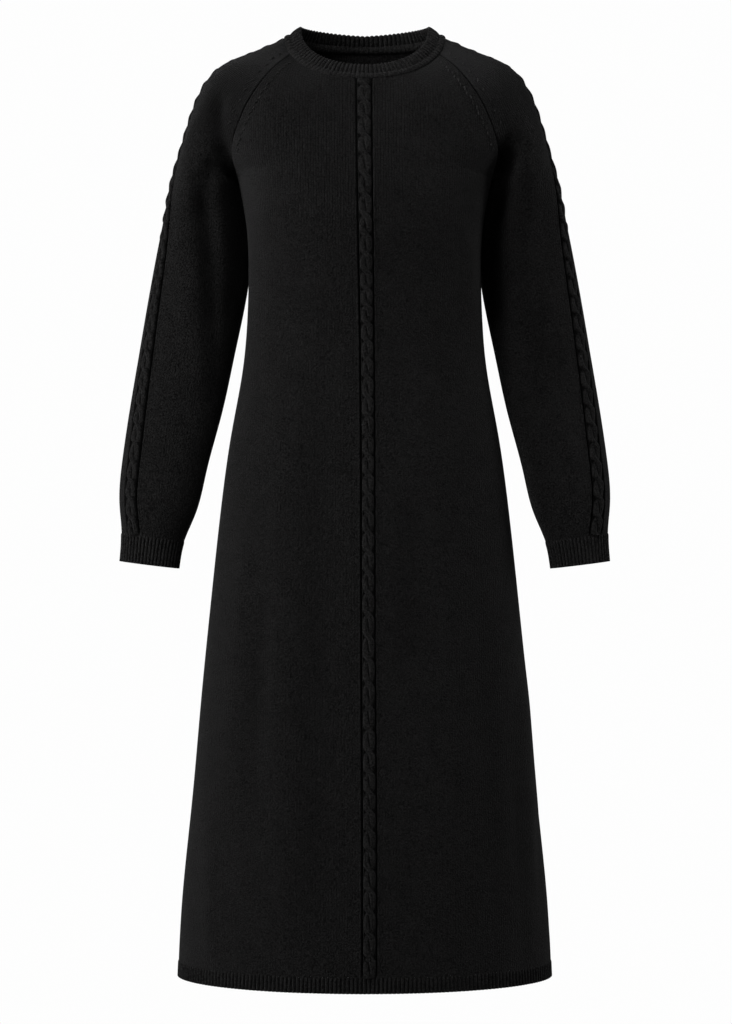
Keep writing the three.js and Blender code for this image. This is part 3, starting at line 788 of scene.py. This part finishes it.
def sleeve(side):
    below = np.linspace(CUFF, ARMPIT_STATION, ARM_ROWS, endpoint=False)
    stations = np.append(below, np.linspace(ARMPIT_STATION, NECK_STATION, SHOULDER_ROWS))
    front_reach, back_reach = (lengths(trace(half)) for half in sleeve_spans(stations))
    cable = -ARM_OUTSIDE.cable(stations)
    wide = np.full(len(stations), SLEEVE_CABLE)
    across = columns(-front_reach, back_reach, cable, wide, SLEEVE_COLUMNS)
    places = sleeve_places(stations, across, side == "left")
    to_seam = np.minimum(front_reach[:, None] + across, back_reach[:, None] - across)
    relief, seam_shade = seam_beside(to_seam, RAGLAN_CLIMB * (stations - ARMPIT_STATION))
    relief = relief + ditch((across - cable[:, None]) / SLEEVE_CABLE)
    relief = relief * above_rib(stations - CUFF)[:, None]
    folded = folds(across, stations[:, None], SLEEVE_FOLDS[side])
    in_cleft = CLEFT.left if side == "left" else CLEFT.right
    # painted shade: the colour is painted darker in the seam grooves and ditches and in the troughs of
    # folds, and darkest in the cleft between arm and body
    cleft = np.clip(1.3 - to_seam / np.maximum(in_cleft(stations), 0.1)[:, None], 0, 1)
    painted_shade = relief + seam_shade + SLEEVE_FOLD_SHADE * np.minimum(folded, 0) - DEEPEST * cleft
    height = relief + folded
    if side == "right":
        places, height, painted_shade, across = places[:, ::-1], height[:, ::-1], painted_shade[:, ::-1], -across[:, ::-1]
    places = raised(places, height)
    piece = piece_of_knitting(f"sleeve_knit_{side}", places, across, stations[:, None], painted_shade)
    close_seam()
    give_thickness(piece)
    return piece, cut_size(f"{side} sleeve", front_reach + back_reach, stations)


for side in ("left", "right"):
    piece, cut = sleeve(side)
    finish_piece(piece, f"sleeve_{side}", sleeve_wool)

# %% [markdown]
# ## Rope cables
# A rope cable is six stitches wide. Every few rows the left three are crossed in front of the right
# three, so two soft strands wind round each other. Each strand is a dome that swings from side to side,
# higher where it is on top. The stitches on a strand lean with it, so each face of the cable takes its UV
# from the strand that it is on.

# %% The cables
SLEEVE_PITCH = 24.0  # from one crossing to the next
FRONT_STEP, SLEEVE_STEP = 1.3, 1.4  # from one row of a cable's grid to the next
CABLE_POINTS = 27  # across a cable
CABLE_HALF = 8.2
CABLE_CLOTH = 0.9
CORE = 0.4  # height of the stitches below the strands
SHADE_UNDER = 1.3  # a cable is shaded where it is lower than this
STRAND_SWING, STRAND_HALF, STRAND_RISE, STRAND_LIFT = 4.1, 4.0, 2.7, 1.4
STRAND_TURN = 1.9  # how quickly the strands cross
CABLE_EDGE = -2.4  # the cable's edges lie in the ditches
NO_STRAND = -9.0


def strands(across, crossings):
    """Height of each strand, and how far across it a point is."""
    phase = math.pi * crossings
    swing = STRAND_SWING * np.tanh(STRAND_TURN * np.cos(phase)) / math.tanh(STRAND_TURN)
    found = []
    for side in (1, -1):
        offset = across - side * swing
        dome = STRAND_RISE * np.sqrt(np.maximum(0, 1 - (offset / STRAND_HALF) ** 2))
        inside = np.abs(offset) < STRAND_HALF
        found.append((np.where(inside, dome + side * STRAND_LIFT * np.sin(phase), NO_STRAND), offset))
    return found


def cable(name, places, across, along, crossings, folded):
    """A cable on its places. across is given for ditches at DITCH, whatever the cable's real width is."""
    (one, one_offset), (other, other_offset) = strands(across, crossings)
    core = CORE * np.sqrt(np.maximum(0, 1 - (across / CABLE_HALF) ** 2))
    relief = np.maximum(np.maximum(one, other), core)
    relief[:, [0, -1]] = CABLE_EDGE
    # painted shade: the colour is painted darker between the strands and where the cable lies low
    between_strands = np.exp(-((one - other) ** 2) / 0.3)
    low = SHADE_UNDER - np.minimum(relief, SHADE_UNDER)
    painted_shade = -(1.1 * between_strands + 0.7 * low)
    piece = piece_of_knitting(name, raised(places, relief + folded), across, along, painted_shade)
    mesh = piece.data
    corner = np.empty(len(mesh.loops), int)
    mesh.loops.foreach_get("vertex_index", corner)
    on_one = (one > other).ravel()[corner].reshape(-1, 4).sum(axis=1) >= 2
    strand_across = np.where(np.repeat(on_one, 4), one_offset.ravel()[corner], other_offset.ravel()[corner])
    strand_along = np.broadcast_to(along, relief.shape).ravel()[corner]
    mesh.uv_layers[0].data.foreach_set("uv", (np.stack([strand_across, strand_along], axis=1) * MM).ravel())
    give_thickness(piece, CABLE_CLOTH)
    return piece


offsets = np.linspace(-CABLE_HALF, CABLE_HALF, CABLE_POINTS)
cable_heights = np.arange(HEM + HEM_RIB, NECK_FRONT, FRONT_STEP)
cable_levels = np.where(cable_heights < ARMPIT, (cable_heights - HEM) / (ARMPIT - HEM),
                        1 + (cable_heights - ARMPIT) / (NECK_FRONT - ARMPIT))
half_rows = trace(body_spans(cable_levels, -1))
cable_across = np.broadcast_to(offsets, (len(cable_heights), CABLE_POINTS))
wide = CABLE_LINE.ditch(cable_heights) / DITCH
from_middle = CABLE_LINE.shift(cable_heights)[:, None] + wide[:, None] * cable_across
cable_places = walk(half_rows, np.abs(from_middle))
cable_places[..., 0] *= np.sign(from_middle)
crossings = 0.5 - CABLE_LINE.crossings(cable_heights)[:, None]
folded = folds(cable_places[..., 0], cable_places[..., 2], FRONT_FOLDS)
front_cable = cable("front_cable", cable_places, cable_across, cable_heights[:, None], crossings, folded)
finish_piece(front_cable, None, cable_wool)

for side in ("left", "right"):
    stations = np.arange(CUFF, NECK_STATION, SLEEVE_STEP)
    from_outside = SLEEVE_CABLE * offsets - ARM_OUTSIDE.cable(stations)[:, None]
    places = sleeve_places(stations, from_outside, side == "left")
    folded = folds(from_outside, stations[:, None], SLEEVE_FOLDS[side])
    if side == "right":
        places, folded = places[:, ::-1], folded[:, ::-1]
    cable_across = np.broadcast_to(offsets, from_outside.shape)
    piece = cable(f"sleeve_cable_{side}", places, cable_across, stations[:, None],
                  stations[:, None] / SLEEVE_PITCH, folded)
    finish_piece(piece, None, cable_wool)

# %% [markdown]
# ## Fashioning marks
# The panels are narrowed towards the neck by moving a few stitches inwards at a time, and each move
# leaves a small raised loop. They make a dotted line beside each raglan seam, on the body's side and on
# the sleeve's.

# %% The marks
MARK_SPACING = 7.5
MARK_SIZE = (1.0, 1.2, 2.9)  # half its width, height and length
MARK_LEAN, MARK_BOW, MARK_UP = 0.35, 1.1, 0.6
MARK_FROM_SEAM = 13.0
FIRST_MARK, LAST_MARK, FIRST_ON_SLEEVE = 0.3, 0.95, 0.42  # shares of the way up the seam
MARK_COLUMNS = np.array([-1.0, 0, 1.0])
# painted light: the marks are the same black yarn, painted about three times lighter
mark_wool = knit_material("mark wool", black=0.0165, depth=0.5)


def marks(name, places):
    """One small loop at each place. The places come in three columns, and the loops follow the middle."""
    along, up = np.gradient(places, axis=1)[:, 1], np.gradient(places, axis=0)[:, 1]
    out, up = unit(np.cross(along, up)), unit(up)
    side = np.cross(up, out)
    bpy.ops.object.select_all(action="DESELECT")
    made = []
    for i, place in enumerate(places[:, 1]):
        bpy.ops.mesh.primitive_uv_sphere_add(segments=8, ring_count=6, radius=1)
        mark = bpy.context.object
        co = np.empty(len(mark.data.vertices) * 3)
        mark.data.vertices.foreach_get("co", co)
        co = co.reshape(-1, 3)
        bowed = co * MARK_SIZE
        bowed[:, 0] += MARK_BOW * (1 - co[:, 2] ** 2) * (-1) ** i + MARK_LEAN * bowed[:, 2]
        axes = np.stack([side[i], -out[i], up[i]])
        mark.data.vertices.foreach_set("co", ((place + out[i] * MARK_UP + bowed @ axes) * MM).ravel())
        made.append(mark)
    for mark in made:
        mark.select_set(True)
    bpy.ops.object.join()
    piece = bpy.context.object
    piece.name = piece.data.name = name
    piece.data.uv_layers[0].name = "knit"
    finish_piece(piece, None, mark_wool)


def seam_line(table, first, last):
    """Shares of the way up a seam, one every MARK_SPACING."""
    share = np.linspace(first, last, 200)
    walked = measured(place_in(table, share))
    return np.interp(np.arange(0, walked[-1], MARK_SPACING), walked, share)


marked = ("front", -1, FRONT_SEAM, FRONT_FOLDS), ("back", 1, BACK_SEAM, BACK_FOLDS)
for side, facing, table, side_folds in marked:
    share = seam_line(table, FIRST_MARK, LAST_MARK)
    half = trace(body_spans(1 + share, facing))
    across = lengths(half)[:, None] - MARK_FROM_SEAM + MARK_COLUMNS
    station = mix(ARMPIT_STATION, NECK_STATION, share)
    on_sleeve = trace(sleeve_spans(station)[0 if facing < 0 else 1])
    aside = lengths(on_sleeve)[:, None] - MARK_FROM_SEAM + MARK_COLUMNS
    for way, hand in ((1, "left"), (-1, "right")):
        turned = slice(None, None, -1 if way * facing > 0 else 1)
        body_places = (walk(half, across) * [way, 1, 1])[:, turned]
        folded = folds(-facing * body_places[..., 0], body_places[..., 2], side_folds)
        marks(f"marks_{side}_{hand}", raised(body_places, folded))
        sleeve_side = (walk(on_sleeve, aside) * [way, 1, 1])[:, turned][:, ::-1]
        folded = folds(facing * aside, station[:, None], SLEEVE_FOLDS[hand])[:, turned][:, ::-1]
        sleeve_side = raised(sleeve_side, folded)[share > FIRST_ON_SLEEVE][::2]
        marks(f"marks_sleeve_{side}_{hand}", sleeve_side)

# %% [markdown]
# ## Ribs at the hem and cuffs
# Ribbing is one plain stitch and one purl stitch by turns. The plain ones stand up as round ribs and the
# purl ones sink between them. It is knitted in one with the cloth, so each rib begins like a fingertip at
# the cloth's edge. A wave across the grid gives the ribs, with eight columns to each, and it fades out
# towards the cloth.

# %% Ribs
HEM_RIB_SPACING, CUFF_RIB_SPACING = 5.3, 4.45
COLUMNS_PER_RIB, HEM_ROWS, CUFF_ROWS = 8, 15, 22


def rib_wave(ribs, crest=0.9, valley=-1.1):
    """Height across a count of ribs, from valley to valley."""
    phase = np.linspace(0, ribs, ribs * COLUMNS_PER_RIB + 1)
    return valley + (crest - valley) * np.abs(np.sin(math.pi * phase)) ** 0.75


def fingertip(up, height, soft=3.0):
    """1 along a rib, falling to 0 where it meets the cloth at its top."""
    return np.sqrt(np.clip((height - up) / soft, 0, 1))


def hem_rib(name, facing, table):
    rows = np.linspace(0, HEM_RIB, HEM_ROWS)
    half = trace(body_spans(rows / (ARMPIT - HEM), facing))
    reach = lengths(half)
    ribs = round(2 * reach[0] / HEM_RIB_SPACING)
    across = reach[:, None] * np.linspace(-1, 1, ribs * COLUMNS_PER_RIB + 1)
    places = walk(half, np.abs(across))
    places[..., 0] *= -facing * np.sign(across)
    wave = rib_wave(ribs)
    folded = folds(-facing * places[..., 0], places[..., 2], table)
    height = wave * fingertip(rows, HEM_RIB)[:, None] + folded
    # painted shade: the valleys between the ribs are painted darker
    piece = piece_of_knitting(name, raised(places, height), across, rows[:, None], wave)
    give_thickness(piece)
    print(name, ribs, "ribs")
    return piece, SimpleNamespace(width=2 * reach[0] * MM, length=HEM_RIB * MM)


def cuff_rib(name, left):
    rows = np.linspace(0, CUFF, CUFF_ROWS)
    front_reach, back_reach = (lengths(trace(half)) for half in sleeve_spans(rows))
    girth = front_reach + back_reach
    ribs = round(girth[0] / CUFF_RIB_SPACING)
    share = np.linspace(0, 1, ribs * COLUMNS_PER_RIB + 1)
    across = girth[:, None] * share - front_reach[:, None]
    places = sleeve_places(rows, across, left)
    if not left:
        places, across = places[:, ::-1], -across[:, ::-1]
    height = rib_wave(ribs) * fingertip(rows, CUFF)[:, None]
    # painted shade: the valleys between the ribs are painted darker
    piece = piece_of_knitting(name, raised(places, height, around=True), across, rows[:, None], height)
    close_seam()
    give_thickness(piece)
    print(name, ribs, "ribs")
    return piece, SimpleNamespace(width=girth[0] * MM, length=CUFF * MM)


hem_ribs, cuffs = {}, {}
for side, facing, table in (("front", -1, FRONT_FOLDS), ("back", 1, BACK_FOLDS)):
    piece, cut = hem_rib(f"hem_ribbing_{side}", facing, table)
    finish_piece(piece, f"hem_rib_{side}", rib_wool)
    hem_ribs[side] = (piece, cut)
for side in ("left", "right"):
    piece, cut = cuff_rib(f"cuff_ribbing_{side}", side == "left")
    finish_piece(piece, f"cuff_{side}", band_wool)
    cuffs[side] = (piece, cut)

# %% [markdown]
# ## The neckband
# The band is a strip of rib folded double over the neck edge, so it shows ribs outside and inside. At its
# foot the machine that links it on leaves a soft roll on both sides. It is one closed ring, so its
# section is drawn once and carried round the neckline, with the rib wave added to the points of the
# section that are ribbed.

# %% The neckband
BAND_HEIGHT = 23.5
NECK_TOP = SimpleNamespace(x=83, front=67, back=59, side_z=16, front_z=-44, back_z=13.6, nape_lift=1.9)
NECK_CURVE = 0.87
FRONT_RIBS, BACK_RIBS = 27, 21  # in a quarter of the way round
BAND_SECTION = np.array([
    # height up the band, distance outwards, strength of the ribs
    [0.0, 0.2, 0.0], [0.3, 1.6, 0.2], [1.6, 2.6, 0.4], [3.4, 3.0, 0.5], [5.4, 2.8, 0.5],
    [7.0, 2.1, 0.5], [8.2, 1.0, 0.6], [9.2, 0.9, 0.9], [10.8, 1.3, 1.0], [13.5, 1.8, 1.0],
    [16.5, 1.8, 1.0], [19.5, 1.6, 1.0], [21.8, 1.3, 1.0], [23.1, 0.6, 0.9], [23.5, -0.2, 0.8],
    [23.1, -1.0, 0.9], [21.8, -1.6, 1.0], [19.0, -1.9, 1.0], [15.5, -1.9, 1.0], [12.5, -1.7, 1.0],
    [10.6, -1.2, 0.9], [9.6, -1.1, 0.4], [8.6, -2.3, 0.25], [6.8, -3.6, 0.3], [4.6, -4.2, 0.3],
    [2.4, -3.8, 0.3], [0.6, -2.6, 0.2], [-0.4, -1.2, 0.1], [0.0, 0.2, 0.0],
])


def neck_top(angle, facing):
    """The upper edge of the band at an angle from the centre of the front or back."""
    c = np.maximum(0, np.cos(angle))
    if facing < 0:
        z = mix(NECK_TOP.side_z, NECK_TOP.front_z, c**NECK_CURVE)
        return points(NECK_TOP.x * np.sin(angle), -NECK_TOP.front * c, z)
    z = mix(NECK_TOP.side_z, NECK_TOP.back_z, c**2) + NECK_TOP.nape_lift * np.sin(2 * angle)
    return points(NECK_TOP.x * np.sin(angle), NECK_TOP.back * c, z)


def neck_quarter(facing, shares):
    """Foot and top of the band from the centre of the front or back to the left shoulder."""
    sleeve_half = trace(sleeve_spans(np.array([float(NECK_STATION)]))[0 if facing < 0 else 1])[0]
    line = np.concatenate([trace(body_spans(np.array([2.0]), facing))[0], sleeve_half[::-1]])
    length = measured(line)[-1]
    foot = walk(line[None], shares[None] * length)[0]
    return foot, neck_top(shares * math.pi / 2, facing), length


def closed_ring(values):
    """A closed line with one more neighbour at each end, so that it has a slope at the join."""
    return np.concatenate([values[-2:-1], values, values[1:2]])


def neckband():
    halves = []
    for facing, ribs in ((-1, FRONT_RIBS), (1, BACK_RIBS)):
        shares = np.linspace(0, 1, ribs * COLUMNS_PER_RIB + 1)
        foot, top, length = neck_quarter(facing, shares)
        halves.append((foot, top))
        at_top = round(measured(top)[-1])
        print("quarter of the neck", round(length), "mm at the foot,", at_top, "mm at the top")
    (front_foot, front_top), (back_foot, back_top) = halves
    half = [np.concatenate([a, b[-2::-1]]) for a, b in ((front_foot, back_foot), (front_top, back_top))]
    foot, top = (np.concatenate([line, line[-2::-1] * [-1, 1, 1]]) for line in half)
    up = (top - foot) / BAND_HEIGHT
    around = np.gradient(closed_ring(foot), axis=0)[1:-1]
    out = unit(np.cross(around, up))
    foot = foot - out * CLOTH / 2
    height, outwards, strength = BAND_SECTION.T[..., None]
    places = foot + height[..., None] * up + outwards[..., None] * out
    relief = strength * rib_wave(2 * (FRONT_RIBS + BACK_RIBS), crest=0.8, valley=-1.0)
    lifted = raised(closed_ring(places), closed_ring(relief), around=True)[1:-1]
    along = measured(BAND_SECTION[:, :2])
    # painted shade: the valleys between the ribs are painted darker
    piece = piece_of_knitting("neckband_ribbing", lifted, measured(foot), along[:, None], relief)
    close_seam()
    return piece, SimpleNamespace(width=measured(foot)[-1] * MM, length=along[-1] * MM)


band, band_cut = neckband()
finish_piece(band, "neckband", band_wool)

# %% [markdown]
# ## What the cloth is
# Each knitted piece works out the size that it has before it is made up, and every piece hangs from the
# root.

# %% [markdown]
# ## Floor and light
# The dress hangs in front of plain white. The key light is large and soft, from the upper left and in
# front. A tall strip on the left brightens the edges there, a smaller one low down fills the skirt, and a
# strip on the right draws the edge on that side. The floor is as bright as the white behind it, so no
# line shows between them.

# %% The studio
FLOOR = -1.45
WHITE = 0.9867
MIDDLE = Vector((0, 0, -0.6))  # what the lights are aimed at


def stage_material(name):
    """A plain floor as bright as the white behind it."""
    material, shader, _ = new_material(name)
    shader.inputs["Base Color"].default_value = (0, 0, 0, 1)
    shader.inputs["Specular IOR Level"].default_value = 0
    shader.inputs["Emission Color"].default_value = (1, 1, 1, 1)
    shader.inputs["Emission Strength"].default_value = WHITE
    return material


bpy.ops.object.select_all(action="DESELECT")
bpy.ops.mesh.primitive_plane_add(size=16, location=(0, 0, FLOOR))
floor = bpy.context.object
floor.name = "floor"
floor.data.materials.append(stage_material("pale floor"))
floor.visible_diffuse = floor.visible_glossy = False  # it doesn't light the dress from below


def area_light(name, place, size, watts):
    bpy.ops.object.light_add(type="AREA", location=place)
    light = bpy.context.object
    light.name = name
    light.data.shape = "RECTANGLE"
    light.data.size, light.data.size_y = size
    light.data.energy = watts
    light.rotation_euler = (MIDDLE - light.location).to_track_quat("-Z", "Y").to_euler()
    return light


area_light("key", (-1.5, -2.1, 1.55), (1.4, 1.4), 88)
area_light("left", (-2.8, -1.15, 0.45), (0.6, 2.4), 82)
area_light("low left", (-2.0, -2.0, -0.5), (0.8, 1.6), 18)
area_light("right", (2.6, 0.0, 0.0), (0.8, 2.2), 52)

AMBIENT = 0.27  # light from all round, where the camera sees white
world = bpy.data.worlds.new("studio white")
scene.world = world
world.use_nodes = True
tree = world.node_tree
background = tree.nodes["Background"]
start = Sum(tree, None)
seen = start.node("ShaderNodeLightPath").output("Is Camera Ray")
strength = seen * (WHITE - AMBIENT) + AMBIENT
tree.links.new(strength.socket, background.inputs["Strength"])
background.inputs["Color"].default_value = (1, 1, 1, 1)
